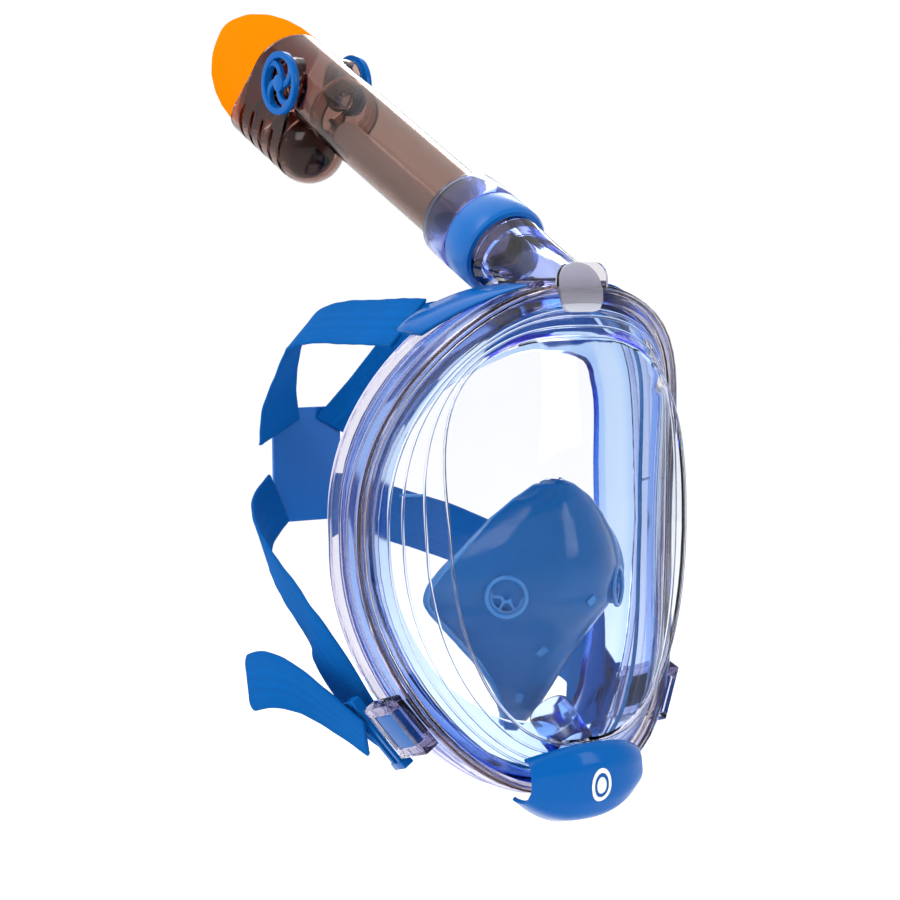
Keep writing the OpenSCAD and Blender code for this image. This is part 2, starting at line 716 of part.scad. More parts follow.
// A flat band along a route, its face turned along out(p)
module band(q, steps, out_at) {
    last = len(q) - 1;
    rings = [for (i = [0:steps])
        let (f = max(0.02, min(last * i / steps, last - 0.02)), p = route_at(q, f), d = route_dir(q, f),
            w0 = cross(d, out_at(p, i / steps)), w = w0 / norm(w0), n = cross(w, d),
            a = strap_w / 2 * w, b = strap_t / 2 * n)
        [p + a + b, p + a - b, p - a - b, p - a + b]];
    open_skin(rings);
}

upper_route = [[60, 14.8, 96], [56, 40, 96], [49, 75, 95], [43, 112, 94], [39, 143, 89],
    [37, 160, 75], [30, 183, 52], [19, 201.2, 31]];
rear_bar_y = buckle_y + 1.5 * bar_w + bar_gap;
strap_under = lug_point([bar_low - strap_t / 2 - soft_gap - 0.3, rear_bar_y, 0]);
tail_out = bar_low + bar_t + strap_t / 2 + soft_gap + 1.7;
lower_route = [[20, 201.2, -6], [42, 182, -16], [60, 152, -26], [73, 116, -38], [80, 82, -52], [83, 58, -68],
    lug_point([bar_low - strap_t / 2 - soft_gap - 1, rear_bar_y + 8, 2]), strap_under];
tail_route = [lug_point([tail_out, rear_bar_y, 0]), [84.6, 50, -98], [89.5, 74, -89], [91, 98, -87.5],
    [88.5, 122, -93]];
patch_mid = [0, 203.3, 12];
back = [0, 1, 0];
function mixed_out(a, b, f) = let (v = mix(a, b, f)) v / norm(v);

module upper_strap(s) {
    color(blue) mirrored(s) band(upper_route, 28,
        function (p, f) mixed_out(head_out(p), back, max(0, 4 * f - 3)));
}

module lower_strap(s) {
    color(blue) mirrored(s) band(lower_route, 28,
        function (p, f) f < 0.25 ? mixed_out(back, head_out(p), 4 * f)
            : mixed_out(head_out(p), lug_normal, max(0, 3 * f - 2)));
}

module strap_tail(s) {
    root = tail_route[0][1];
    route = [for (p = tail_route) [p[0], root + (p[1] - root) * tail_len / 95, p[2]]];
    color(blue) mirrored(s) band(route, 18, function (p, f) mixed_out(lug_normal, [1, 0.15, 0], f));
}

// The patch where the four straps cross behind the head
module back_patch() {
    color(blue) translate(patch_mid) rotate([90, 0, 0]) hull()
        for (x = [-1, 1]) for (y = [-1, 1])
            translate([x * 14, y * 24, -strap_t / 2]) cylinder(r = 8, h = strap_t, $fn = 32);
}

// Clips that hook over the upper corners of the frame
clip_from = 12;
clip_to = 39;
clip_t = 3;
clip_r = 3.3;
module upper_clip(s) {
    n = 12;
    rings = [for (i = [0:n])
        let (f = i / n, t = mix(clip_from, clip_to, f), d = band_depth(clip_to),
            low = mix(5, d - 13, pow(f, 1.3)), high = mix(26, d + 13, pow(f, 0.45)) - 8 * pow(f, 6),
            top = clip_t * mix(0.5, 1.3, f))
        [around(t, clip_r, low), around(t, clip_r, mix(low, high, 0.4)), around(t, clip_r, high),
        around(t, clip_r + top, high), around(t, clip_r + top, mix(low, high, 0.4)),
        around(t, clip_r + 0.6 * top, low)]];
    color(blue) mirrored(s) open_skin(rings);
}

frame();
lens();
bezel_ring();
face_skirt();
oronasal_cup();
cup_valve_seat(1);  // cup_valve_seat_left
cup_valve_seat(-1);  // cup_valve_seat_right
cup_valve_flap(1);  // cup_valve_flap_left
cup_valve_flap(-1);  // cup_valve_flap_right
chin_cover();
chin_valve_seat();
chin_valve_flap();
snorkel_socket();
neck_gasket();
snorkel_tube();
tube_collar();
tube_seal();
inner_duct();
drytop_housing();
drytop_cap();
float_body();  // float
float_seal();
exhaust_cap(1);  // exhaust_cap_left
exhaust_cap(-1);  // exhaust_cap_right
exhaust_flap(1);  // exhaust_flap_left
exhaust_flap(-1);  // exhaust_flap_right
upper_strap(1);  // upper_strap_left
upper_strap(-1);  // upper_strap_right
lower_strap(1);  // lower_strap_left
lower_strap(-1);  // lower_strap_right
back_patch();
strap_tail(1);  // strap_tail_left
strap_tail(-1);  // strap_tail_right
upper_clip(1);  // upper_clip_left
upper_clip(-1);  // upper_clip_right
lower_buckle(1);  // lower_buckle_left
lower_buckle(-1);  // lower_buckle_right
strap_lug(1);  // strap_lug_left
strap_lug(-1);  // strap_lug_right
release_button(1);  // release_button_left
release_button(-1);  // release_button_right
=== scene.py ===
# %% [markdown]
# # A full-face snorkel mask
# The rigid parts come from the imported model, and each gets a finish here. The soft parts, which are
# the straps, the breathing cup and the trims, are modelled in this file in the same place.

# %% Load the model
import math
import bpy
from mathutils import Matrix, Vector


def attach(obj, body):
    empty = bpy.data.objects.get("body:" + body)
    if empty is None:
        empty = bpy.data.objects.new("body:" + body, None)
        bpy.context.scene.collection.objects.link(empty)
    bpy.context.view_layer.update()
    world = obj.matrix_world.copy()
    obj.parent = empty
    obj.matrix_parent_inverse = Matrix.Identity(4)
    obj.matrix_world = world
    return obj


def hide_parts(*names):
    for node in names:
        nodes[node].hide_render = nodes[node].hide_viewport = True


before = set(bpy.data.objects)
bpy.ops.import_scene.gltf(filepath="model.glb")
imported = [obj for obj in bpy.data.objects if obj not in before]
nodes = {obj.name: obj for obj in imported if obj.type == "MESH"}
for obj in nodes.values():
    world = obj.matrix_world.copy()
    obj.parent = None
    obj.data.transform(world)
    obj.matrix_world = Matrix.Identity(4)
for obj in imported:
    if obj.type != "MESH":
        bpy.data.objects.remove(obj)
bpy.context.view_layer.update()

# %% [markdown]
# Everything below is written in millimetres, as a maker would measure it, and turned into metres once.

# %% Units and small helpers
MM = 0.001
SIDES = (("left", 1), ("right", -1))


def deselect():
    if bpy.context.object and bpy.context.object.mode != "OBJECT":
        bpy.ops.object.mode_set(mode="OBJECT")
    bpy.ops.object.select_all(action="DESELECT")


def make_active(piece):
    deselect()
    piece.select_set(True)
    bpy.context.view_layer.objects.active = piece


def power(v, e):
    return math.copysign(abs(v) ** e, v)


def between(a, b, f):
    return a + (b - a) * f


def lookup(v, table):
    if v <= table[0][0]:
        return table[0][1]
    for (v0, w0), (v1, w1) in zip(table, table[1:]):
        if v <= v1:
            return between(w0, w1, (v - v0) / (v1 - v0))
    return table[-1][1]


def curve_between(a, b, c, d, f):
    """A smooth curve from b to c, where a and d are the points before and after them."""
    square, cube = 2 * a - 5 * b + 4 * c - d, 3 * b - a - 3 * c + d
    return 0.5 * (2 * b + (c - a) * f + square * f * f + cube * f ** 3)


print("helpers ready")

# %% [markdown]
# ## Camera, light and floor
# A long lens from the front right of the wearer, a little above eye level, flatters a mask because it
# keeps the big window from bulging. Clear plastic shows its edges only where it mirrors something
# darker, so the surroundings are bright ahead and overhead and greyer behind the camera.

# %% Camera
deselect()
bpy.ops.object.camera_add(location=(-0.7631, -1.0024, 0.1285))
camera = bpy.context.object
aim = Vector((0.0, -0.0399, 0.0)) - camera.location
camera.rotation_euler = aim.to_track_quat("-Z", "Y").to_euler()
camera.data.sensor_width = 36
camera.data.lens = 101.14
camera.data.shift_x = -0.139
camera.data.shift_y = 0.078
bpy.context.scene.camera = camera
print("camera", tuple(round(v, 3) for v in camera.location))

# %% [markdown]
# The surroundings are the biggest lamp. They are made as a ramp from front to back instead of a picture,
# so that nothing sharp is mirrored in the lens.

# %% Surroundings
bpy.context.scene.view_settings.view_transform = "Standard"
world = bpy.data.worlds.new("studio")
bpy.context.scene.world = world
world.use_nodes = True
wn, wl = world.node_tree.nodes, world.node_tree.links
coords = wn.new("ShaderNodeTexCoord")
split = wn.new("ShaderNodeSeparateXYZ")
ramp = wn.new("ShaderNodeValToRGB")
ramp.color_ramp.elements[0].position = 0.05
ramp.color_ramp.elements[0].color = (0.31, 0.31, 0.33, 1)
ramp.color_ramp.elements[1].position = 0.62
ramp.color_ramp.elements[1].color = (1.0, 1.0, 1.0, 1)
shift = wn.new("ShaderNodeMath")
shift.operation = "MULTIPLY_ADD"
shift.inputs[1].default_value = 0.5
shift.inputs[2].default_value = 0.5
wl.new(coords.outputs["Generated"], split.inputs[0])
wl.new(split.outputs["Y"], shift.inputs[0])
wl.new(shift.outputs[0], ramp.inputs[0])
wl.new(ramp.outputs[0], wn["Background"].inputs["Color"])
wn["Background"].inputs["Strength"].default_value = 1.02
print("world", world.name)


# %% [markdown]
# Three soft boxes give the gloss its long highlights, and a wide sun from above brightens the floor.

# %% Soft boxes
def soft_box(name, place, size, watts):
    deselect()
    bpy.ops.object.light_add(type="AREA", location=place)
    lamp = bpy.context.object
    lamp.name = name
    lamp.data.shape = "RECTANGLE"
    lamp.data.size, lamp.data.size_y = size
    lamp.data.energy = watts
    lamp.rotation_euler = (-Vector(place)).to_track_quat("-Z", "Y").to_euler()
    return lamp


soft_box("key", (-1.5, -0.5, 1.5), (0.9, 1.4), 20)
soft_box("front", (0.9, -1.7, 0.7), (0.6, 1.2), 12)
soft_box("rim", (1.2, 1.3, 1.1), (0.8, 0.8), 10)
deselect()
bpy.ops.object.light_add(type="SUN", location=(0, 1, 3))
overhead = bpy.context.object
overhead.name = "overhead"
overhead.data.energy = 0.95
overhead.data.angle = math.radians(70)
overhead.rotation_euler = (math.radians(-18), 0, 0)

# %% [markdown]
# A matt white floor far below the mask catches no hard shadow. It belongs to the studio, not to the mask.

# %% Floor
deselect()
bpy.ops.mesh.primitive_circle_add(vertices=96, radius=14, fill_type="NGON", location=(0, 0, -0.34))
floor = bpy.context.object
floor.name = "floor"
paper = bpy.data.materials.new("paper")
paper.use_nodes = True
paper.node_tree.nodes["Principled BSDF"].inputs["Base Color"].default_value = (0.93, 0.93, 0.93, 1)
paper.node_tree.nodes["Principled BSDF"].inputs["Roughness"].default_value = 0.9
floor.data.materials.append(paper)
print("floor at", -0.34)

# %% [markdown]
# ## Finishes
# Every finish has its own small unevenness: moulded plastic is never perfectly flat, silicone is
# slightly cloudy and webbing is woven. The unevenness is made with noise in object space, so it
# stays with the piece.


# %% A base for all finishes
def finish_base(name, colour, roughness, grain=900, depth=0.02, vary=0.06):
    mat = bpy.data.materials.new(name)
    mat.use_nodes = True
    n, l = mat.node_tree.nodes, mat.node_tree.links
    skin = n["Principled BSDF"]
    place = n.new("ShaderNodeTexCoord")
    noise = n.new("ShaderNodeTexNoise")
    noise.inputs["Scale"].default_value = grain
    noise.inputs["Detail"].default_value = 3
    cloud = n.new("ShaderNodeTexNoise")
    cloud.inputs["Scale"].default_value = 34
    tone = n.new("ShaderNodeMix")
    tone.data_type = "RGBA"
    tone.inputs["A"].default_value = (*[c * (1 - vary) for c in colour], 1)
    tone.inputs["B"].default_value = (*[min(1, c * (1 + vary) + 0.004) for c in colour], 1)
    rough = n.new("ShaderNodeMapRange")
    rough.inputs["To Min"].default_value = roughness * 0.8
    rough.inputs["To Max"].default_value = roughness * 1.25
    bump = n.new("ShaderNodeBump")
    bump.inputs["Strength"].default_value = depth
    bump.inputs["Distance"].default_value = 0.0004
    l.new(place.outputs["Object"], noise.inputs["Vector"])
    l.new(place.outputs["Object"], cloud.inputs["Vector"])
    l.new(cloud.outputs["Fac"], tone.inputs["Factor"])
    l.new(cloud.outputs["Fac"], rough.inputs["Value"])
    l.new(noise.outputs["Fac"], bump.inputs["Height"])
    l.new(tone.outputs["Result"], skin.inputs["Base Color"])
    l.new(rough.outputs["Result"], skin.inputs["Roughness"])
    l.new(bump.outputs["Normal"], skin.inputs["Normal"])
    return mat, skin


def clear_moulding(name, colour, tint, density, roughness=0.03, ior=1.32):
    mat, skin = finish_base(name, colour, roughness, grain=160, depth=0.012, vary=0.015)
    skin.inputs["Transmission Weight"].default_value = 1.0
    skin.inputs["IOR"].default_value = ior
    if density:
        body = mat.node_tree.nodes.new("ShaderNodeVolumeAbsorption")
        body.inputs["Color"].default_value = (*tint, 1)
        body.inputs["Density"].default_value = density
        mat.node_tree.links.new(body.outputs[0], mat.node_tree.nodes["Material Output"].inputs["Volume"])
    return mat


print("finish helpers ready")

# %% [markdown]
# The rigid shells are clear or smoky moulded plastic. They could be faked with a see-through alpha, but
# real transmission with a low index bends the view a little at the edges, and absorption inside the wall
# makes thick places darker, as tinted plastic is.

# %% Clear and smoky plastics
lens_clear = clear_moulding("lens clear", (0.96, 0.97, 1.0), (0.7, 0.76, 1.0), 26, 0.012, 1.22)
frame_smoke = clear_moulding("frame smoke", (0.9, 0.89, 0.98), (0.52, 0.49, 0.64), 110, 0.03, 1.3)
bezel_smoke = clear_moulding("bezel smoke", (0.92, 0.9, 0.95), (0.5, 0.44, 0.46), 110, 0.04, 1.3)
seam_smoke = clear_moulding("seam smoke", (0.5, 0.4, 0.38), (0.3, 0.2, 0.18), 700, 0.1, 1.3)
tube_smoke = clear_moulding("tube smoke", (0.88, 0.76, 0.71), (0.42, 0.29, 0.25), 370, 0.05, 1.25)
housing_smoke = clear_moulding("housing smoke", (0.8, 0.62, 0.56), (0.42, 0.24, 0.2), 380, 0.06, 1.3)
neck_clear = clear_moulding("neck clear", (0.88, 0.91, 1.0), (0.5, 0.6, 0.95), 90, 0.03, 1.3)
collar_clear = clear_moulding("collar blue", (0.74, 0.79, 0.96), (0.36, 0.45, 0.78), 120, 0.06, 1.3)
skirt_silicone = clear_moulding("skirt silicone", (0.9, 0.95, 1.0), (0.3, 0.6, 0.97), 230, 0.14, 1.15)
print("clear plastics", [m.name for m in (lens_clear, frame_smoke, tube_smoke)])

# %% [markdown]
# The clips, buckles and covers are coloured right through, so they need no transmission. Silicone differs
# from plastic by a broader highlight and a little light under its skin.

# %% Solid plastics and silicones
blue_gloss, skin = finish_base("blue gloss", (0.0, 0.105, 0.4), 0.14, 500, 0.03)
skin.inputs["Specular IOR Level"].default_value = 0.08
skin.inputs["Coat Weight"].default_value = 0.05
skin.inputs["Coat Roughness"].default_value = 0.05
orange_satin, skin = finish_base("orange satin", (0.95, 0.215, 0.0), 0.5, 2200, 0.12, 0.03)
skin.inputs["Specular IOR Level"].default_value = 0.0
pale_satin, skin = finish_base("pale satin", (0.62, 0.66, 0.72), 0.35)
dark_moulding, skin = finish_base("dark moulding", (0.05, 0.022, 0.018), 0.25)
black_seal, skin = finish_base("black seal", (0.02, 0.02, 0.025), 0.4)
blue_silicone, skin = finish_base("blue silicone", (0.0, 0.13, 0.47), 0.3, 1200, 0.08)
skin.inputs["Specular IOR Level"].default_value = 0.3
skin.inputs["Subsurface Weight"].default_value = 0.2
skin.inputs["Subsurface Radius"].default_value = (0.001, 0.003, 0.008)
cup_silicone, skin = finish_base("cup silicone", (0.0, 0.12, 0.4), 0.1, 900, 0.04, 0.1)
skin.inputs["Specular IOR Level"].default_value = 0.12
skin.inputs["Coat Weight"].default_value = 0.1
skin.inputs["Coat Roughness"].default_value = 0.03
lip_silicone, skin = finish_base("lip silicone", (0.02, 0.22, 0.6), 0.12, 900, 0.04, 0.08)
frosted_tab, skin = finish_base("frosted tab", (0.56, 0.58, 0.66), 0.22)
skin.inputs["Alpha"].default_value = 0.9
white_print, skin = finish_base("white print", (0.9, 0.91, 0.93), 0.4, 3000, 0.02, 0.02)
print("solid plastics", blue_gloss.name, orange_satin.name)

# %% [markdown]
# Elastic webbing has fine lengthwise ribs and short crossing picks. The pattern reads the piece's own
# UV map, which is laid out in metres, so the weave is the same size on every strap.

# %% Webbing
webbing, skin = finish_base("webbing", (0.0, 0.105, 0.39), 0.85, 5200, 0.3, 0.1)
wn, wl = webbing.node_tree.nodes, webbing.node_tree.links
uv = wn.new("ShaderNodeTexCoord")
rib = wn.new("ShaderNodeTexWave")
rib.inputs["Scale"].default_value = 240
pick = wn.new("ShaderNodeTexWave")
pick.bands_direction = "Y"
pick.inputs["Scale"].default_value = 330
pick.inputs["Distortion"].default_value = 1.2
cross_over = wn.new("ShaderNodeMath")
cross_over.operation = "MULTIPLY"
weave = wn.new("ShaderNodeBump")
weave.inputs["Strength"].default_value = 0.55
weave.inputs["Distance"].default_value = 0.0005
wl.new(uv.outputs["UV"], rib.inputs["Vector"])
wl.new(uv.outputs["UV"], pick.inputs["Vector"])
wl.new(rib.outputs["Fac"], cross_over.inputs[0])
wl.new(pick.outputs["Fac"], cross_over.inputs[1])
wl.new(cross_over.outputs[0], weave.inputs["Height"])
wl.new(wn["Bump"].outputs["Normal"], weave.inputs["Normal"])
wl.new(weave.outputs["Normal"], skin.inputs["Normal"])
skin.inputs["Sheen Weight"].default_value = 0.01
skin.inputs["Specular IOR Level"].default_value = 0.02
skin.inputs["Sheen Roughness"].default_value = 0.4
print("webbing ready")

# %% [markdown]
# ## The rigid parts
# A part from the model arrives as loose triangles. Welding its points lets the shading run smoothly
# over curves, and splitting at sharp edges, or a small bevel, keeps the moulded corners crisp.


# %% Finish the rigid parts
def dress(name, finish, bevel=0.0, sharp=32):
    piece = nodes[name]
    make_active(piece)
    bpy.ops.mesh.customdata_custom_splitnormals_clear()
    bpy.ops.object.shade_smooth()
    piece.data.materials.clear()
    piece.data.materials.append(finish)
    weld = piece.modifiers.new("weld", "WELD")
    weld.merge_threshold = 0.00001
    if bevel:
        round_off = piece.modifiers.new("round_off", "BEVEL")
        round_off.width = bevel * MM
        round_off.segments = 2
        round_off.limit_method = "ANGLE"
        round_off.angle_limit = math.radians(40)
        round_off.harden_normals = False
    split_edges = piece.modifiers.new("sharp", "EDGE_SPLIT")
    split_edges.split_angle = math.radians(sharp)


dress("lens", lens_clear, sharp=30)
dress("frame", frame_smoke)
dress("bezel_ring", bezel_smoke)
dress("face_skirt", skirt_silicone, sharp=45)
dress("snorkel_socket", neck_clear, sharp=24)
dress("neck_gasket", blue_silicone, sharp=40)
dress("snorkel_tube", tube_smoke)
dress("tube_collar", collar_clear, sharp=40)
dress("tube_seal", black_seal)
dress("inner_duct", pale_satin)
dress("drytop_housing", housing_smoke)
dress("drytop_cap", orange_satin, sharp=45)
dress("float", dark_moulding)
dress("float_seal", black_seal)
dress("chin_valve_seat", bezel_smoke)
dress("chin_valve_flap", blue_silicone)
for side, sign in SIDES:
    dress(f"exhaust_cap_{side}", blue_gloss, 0.5)
    dress(f"exhaust_flap_{side}", skirt_silicone)
    dress(f"upper_clip_{side}", blue_gloss, 0.7)
    dress(f"lower_buckle_{side}", blue_gloss, 0.6)
    dress(f"strap_lug_{side}", frame_smoke, 0.7)
    dress(f"release_button_{side}", blue_gloss, 0.9)
    dress(f"cup_valve_seat_{side}", lip_silicone)
    dress(f"cup_valve_flap_{side}", skirt_silicone)
print("dressed", len(nodes))

# %% [markdown]
# ## The line of the frame
# The lens, its ring, the frame and the skirt all follow one closed line round the face. It is a
# superellipse, a little wider at the top, whose sides sweep back. Trims that run round the mask follow
# the same line, so they sit where the rigid parts are.

# %% Frame line
HALF_W, HALF_H, MID_Z, SQUARE = 96.0, 123.5, -10.3, 2.19
TOP_FLARE = 0.04
WINDOW_HALF_W, WINDOW_HALF_H, WINDOW_SQUARE = 72.9, 99.2, 0.755
# The angle from the top in degrees, and how deep the frame's rear band is there
BAND_DEPTHS = [(0, 30), (20, 32.5), (40, 36), (65, 31), (90, 26), (112, 30), (135, 36), (155, 32), (180, 22)]


def frame_x(t):
    return HALF_W * power(math.sin(t), 2 / SQUARE) * (1 + TOP_FLARE * math.cos(t))


def frame_z(t):
    return MID_Z + HALF_H * power(math.cos(t), 2 / SQUARE)


def frame_y(t):
    return -37.9 - 4 * math.cos(t) + 41.8 * (abs(frame_x(t)) / HALF_W) ** 3.32


def round_frame(t, out, back):
    e = 2 - 2 / SQUARE
    n = Vector((power(math.sin(t), e) / HALF_W, power(math.cos(t), e) / HALF_H)).normalized()
    return Vector((frame_x(t) + out * n.x, frame_y(t) + back, frame_z(t) + out * n.y))


def band_depth(t):
    a = abs(math.degrees(t))
    a = 360 - a if a > 180 else a
    return lookup(a, BAND_DEPTHS)


def window_edge(t):
    x = WINDOW_HALF_W * power(math.sin(t), WINDOW_SQUARE) * (1 + 0.17 * math.cos(t))
    y = -45.5 + 3.8 * math.cos(t) + (7.6 + 7.6 * max(0, math.cos(t))) * (abs(x) / WINDOW_HALF_W) ** 1.6
    return Vector((x, y, MID_Z + 0.8 + WINDOW_HALF_H * power(math.cos(t), WINDOW_SQUARE)))


print("frame is", round(2 * frame_x(math.pi / 2)), "mm wide")

# %% [markdown]
# ## Laying a piece along its line
# A bead, a trim or a strap starts as a flat grid. One side of the grid runs along the piece and the
# other runs round its section, and each point is then put in its place. Blender has no operator that
# bends a grid along a line in space without a window, so the points are placed in code, and the
# edit-mode operators do the closing, the welding and the ends.


# %% Grid helper
def lay_grid(name, around, along, place, finish, closed=False, body="mask"):
    deselect()
    bpy.ops.mesh.primitive_grid_add(x_subdivisions=around, y_subdivisions=along, size=2)
    piece = bpy.context.object
    piece.name = name
    for v in piece.data.vertices:
        v.co = Vector(place((v.co.x + 1) / 2, (v.co.y + 1) / 2)) * MM
    bpy.ops.object.mode_set(mode="EDIT")
    bpy.ops.mesh.select_all(action="SELECT")
    bpy.ops.mesh.remove_doubles(threshold=0.00001)
    if closed:
        bpy.ops.mesh.select_all(action="DESELECT")
        bpy.ops.mesh.select_non_manifold()
        bpy.ops.mesh.fill_holes(sides=0)
    bpy.ops.mesh.select_all(action="SELECT")
    bpy.ops.mesh.normals_make_consistent(inside=False)
    bpy.ops.object.mode_set(mode="OBJECT")
    bpy.ops.object.shade_smooth()
    piece.data.materials.append(finish)
    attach(piece, body)
    return piece


def apply_modifier(piece, kind, **settings):
    make_active(piece)
    step = piece.modifiers.new(kind.lower(), kind)
    for key, value in settings.items():
        setattr(step, key, value)
    bpy.ops.object.modifier_apply(modifier=step.name)


def bead(name, path, radius, finish, steps=180, flat=1.0, body="mask"):
    """A closed bead of round section that follows path(t) once round."""
    def place(u, v):
        t, a = 2 * math.pi * v, 2 * math.pi * u
        p = path(t)
        ahead = (path(t + 0.01) - path(t - 0.01)).normalized()
        out = Vector((p.x, 0, p.z - MID_Z)).normalized()
        out = (out - ahead * out.dot(ahead)).normalized()
        up = ahead.cross(out)
        return p + radius * (math.cos(a) * out + flat * math.sin(a) * up)
    return lay_grid(name, 10, steps, place, finish, body=body)


print("grid and bead helpers ready")

# %% [markdown]
# ## Moulded lines of the mask
# The window's edge and the ribs on the lens wall are what the eye reads as clear plastic: thin raised
# lines that catch the light. The dark line is the seam between the lens ring and the frame.

# %% Lens ribs and seams
bead("window_crease", lambda t: window_edge(t) + Vector((0, 0.1, 0)), 0.75, lens_clear)
for number, share in enumerate((0.3, 0.62, 0.84)):
    def wall_line(t, share=share):
        foot = round_frame(t, -8.5, -2.5)
        w = share + 0.14 * share * (1 - share)
        return window_edge(t).lerp(foot, w)
    bead(f"lens_rib_{number + 1}", wall_line, 0.7, lens_clear)
bead("frame_seam", lambda t: round_frame(t, 1.5, 0.1), 0.75, seam_smoke)
bead("frame_front_rib", lambda t: round_frame(t, 2.8, 9.0), 0.8, frame_smoke, flat=1.6)
bead("frame_mid_rib", lambda t: round_frame(t, 2.6, 0.55 * band_depth(t)), 0.6,
     frame_smoke, flat=1.4)
bead("frame_rear_rib", lambda t: round_frame(t, 2.2, band_depth(t) - 2.5), 0.8,
     frame_smoke, flat=1.8)
bead("skirt_bead", lambda t: round_frame(t, -9.5, band_depth(t) * 0.42), 1.1, lip_silicone)
print("ribs and seams done")

# %% [markdown]
# ## The breathing cup
# The cup is a thin glossy silicone shell over the nose and mouth. Its top comes to a point on the
# bridge of the nose, it is widest beside the nostrils, and it narrows to the chin. It is moulded in
# one piece, so it is laid as one sheet and given a wall.

# %% Cup shell
# The height, the half width there, and the depth of the open edge and of the ridge
CUP = [(-108, 3, 12, 8), (-104, 6, 10, 3), (-98, 10, 6, -4), (-86, 18, 3, -12),
       (-72, 29, 2, -21), (-60, 40, 3, -30), (-52, 48, 3, -36),
       (-43, 57, 2, -41), (-37, 60, 0, -41), (-28, 57, -4, -42), (-14, 46, -11, -41),
       (0, 32, -15, -38), (9, 21, -19, -34), (15, 11, -21, -30), (18, 3, -22, -26)]
CUP_LOW, CUP_TOP = -108, 18
# The height, and how sharp the cup's ridge is there
CUP_RIDGE = [(-60, 3.2), (-38, 2.7), (-15, 2.1), (5, 1.3)]
CUP_WALL = 1.9 * MM


def smooth_table(z, column):
    """A column of the cup's table at height z, as a smooth curve through its rows."""
    last = len(CUP) - 1
    k = max(i for i in range(last) if CUP[i][0] <= z or i == 0)
    rows = [CUP[max(0, min(last, k + step))] for step in (-1, 0, 1, 2)]
    f = max(0, min(1, (z - rows[1][0]) / (rows[2][0] - rows[1][0])))
    return curve_between(*[row[column] for row in rows], f)


def cup_point(u, v):
    z = between(CUP_LOW, CUP_TOP, v)
    a = math.radians(between(-90, 90, u))
    half, rear, front = (smooth_table(z, k) for k in (1, 2, 3))
    ridge = power(max(0, math.cos(a)), lookup(z, CUP_RIDGE))
    return Vector((half * power(math.sin(a), 0.9), between(rear, front, ridge), z))


cup = lay_grid("cup_shell", 96, 130, cup_point, cup_silicone)
apply_modifier(cup, "SOLIDIFY", thickness=CUP_WALL, offset=1)
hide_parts("oronasal_cup")


def rolled_edge(name, inset, lift, radius):
    """A rolled lip beside the open edge, from the bridge of the nose down to the chin."""
    for side, sign in SIDES:
        def path(v, sign=sign):
            p = cup_point(0.5 + sign * (0.5 - inset), between(0.985, 0.02, v))
            return p + Vector((0.3 * sign, -1, 0)).normalized() * lift

        def place(u, v, path=path):
            p = path(v)
            ahead = (path(min(1, v + 0.01)) - path(max(0, v - 0.01))).normalized()
            out = Vector((0, -1, 0))
            out = (out - ahead * out.dot(ahead)).normalized()
            a = 2 * math.pi * u
            return p + radius * (math.cos(a) * out + math.sin(a) * ahead.cross(out))
        lay_grid(f"{name}_{side}", 12, 150, place, lip_silicone, closed=True)


rolled_edge("cup_lip", 0.0, 0.4, 2.0)
rolled_edge("cup_fold", 0.035, 0.9, 1.3)
print("cup", len(cup.data.polygons), "faces")


# %% [markdown]
# Small rectangular locators stand on the cup, and a round collar frames each of its two valves. Each
# locator is a bevelled box with an inset top, and each collar is a torus.

# %% Locators and valve collars
def cup_normal(u, v):
    across = cup_point(u + 0.01, v) - cup_point(u - 0.01, v)
    up = cup_point(u, v + 0.01) - cup_point(u, v - 0.01)
    return across.cross(up).normalized()


def settle(piece, spot, facing, turn=0.0):
    """Puts a piece that was made at the origin, facing +Z, on its spot."""
    spin = facing.to_track_quat("Z", "Y").to_matrix().to_4x4() @ Matrix.Rotation(turn, 4, "Z")
    piece.data.transform(Matrix.Translation(spot * MM) @ spin)


def locator(name, u, v, turn):
    deselect()
    bpy.ops.mesh.primitive_cube_add(size=1)
    piece = bpy.context.object
    piece.name = name
    piece.data.transform(Matrix.Diagonal((5.6 * MM, 3.4 * MM, 2.6 * MM, 1)))
    bpy.ops.object.mode_set(mode="EDIT")
    bpy.ops.mesh.select_all(action="SELECT")
    bpy.ops.mesh.bevel(offset=0.35 * MM, segments=2)
    bpy.ops.object.mode_set(mode="OBJECT")
    for f in piece.data.polygons:
        f.select = f.normal.z > 0.9 and f.area > 5e-6
    bpy.ops.object.mode_set(mode="EDIT")
    bpy.ops.mesh.inset(thickness=0.45 * MM)
    bpy.ops.transform.translate(value=(0, 0, -0.7 * MM))
    bpy.ops.object.mode_set(mode="OBJECT")
    settle(piece, cup_point(u, v) + 2.7 * cup_normal(u, v), cup_normal(u, v), turn)
    piece.data.materials.append(lip_silicone)
    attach(piece, "mask")


for number, (angle, z, turn) in enumerate(((5, -40, 0.5), (-13, -64, 0.9), (-28, -90, 1.2))):
    locator(f"cup_locator_{number + 1}", 0.5 + angle / 180, (z - CUP_LOW) / (CUP_TOP - CUP_LOW), turn)
VALVE_TURN = math.radians(38)
for side, sign in SIDES:
    deselect()
    bpy.ops.mesh.primitive_torus_add(
        major_radius=9.6 * MM, minor_radius=1.2 * MM, major_segments=64, minor_segments=14)
    collar = bpy.context.object
    collar.name = f"cup_valve_collar_{side}"
    facing = Vector((sign * math.sin(VALVE_TURN), -math.cos(VALVE_TURN), 0))
    settle(collar, Vector((sign * 34, -29, -36)) + 1.2 * facing, facing)
    bpy.ops.object.shade_smooth()
    collar.data.materials.append(lip_silicone)
    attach(collar, "mask")
print("cup trims done")

# %% [markdown]
# A frosted tongue stands on the ring above the lens. It starts as a flat cylinder, whose lower half is
# squared into a foot, and its edges are rounded by a bevel.

